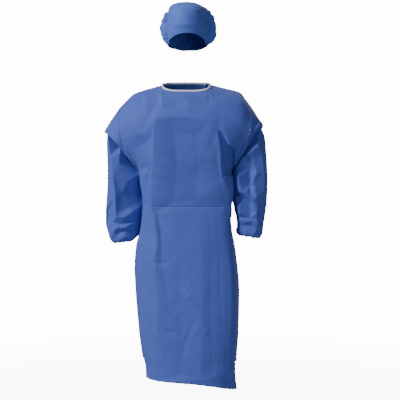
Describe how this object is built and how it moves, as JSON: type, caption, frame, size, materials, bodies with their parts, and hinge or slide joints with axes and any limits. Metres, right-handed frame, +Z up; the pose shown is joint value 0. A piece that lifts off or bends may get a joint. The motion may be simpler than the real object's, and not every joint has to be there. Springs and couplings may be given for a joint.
{
  "type": "isolation gown with cap",
  "caption": "Long-sleeved isolation gown in its worn form, closing down the back with a tied belt, with bound neck, elastic wrists and a matching gathered cap above it.",
  "frame": {"origin": "middle of the neck opening, level with the points where the neckline meets the shoulders, where the wearer holds the gown", "axes": "+Z up along the wearer, -Y to the front, +X to the wearer's left"},
  "size_m": [0.6538, 0.306, 1.5295],
  "materials": {
    "gown_cloth": "blue spunbond nonwoven with a fine embossed dot pattern, matt",
    "cap_cloth": "the same blue nonwoven, smooth at the front and gathered behind",
    "trim_cloth": "blue nonwoven strips and elastic casings, matt",
    "binding": "white knitted binding tape, matt"
  },
  "bodies": {
    "root": {"front_panel": "gown_cloth", "back_panel_right": "gown_cloth", "back_panel_left": "gown_cloth", "sleeve_right": "gown_cloth", "sleeve_left": "gown_cloth", "cap_front": "cap_cloth", "cap_crown": "cap_cloth", "cuff_right": "trim_cloth", "cuff_left": "trim_cloth", "belt_right": "trim_cloth", "belt_left": "trim_cloth", "belt_end_right": "trim_cloth", "belt_end_left": "trim_cloth", "belt_knot": "trim_cloth", "neck_tab": "trim_cloth", "cap_elastic": "trim_cloth", "neck_binding": "binding"}
  },
  "joints": []
}
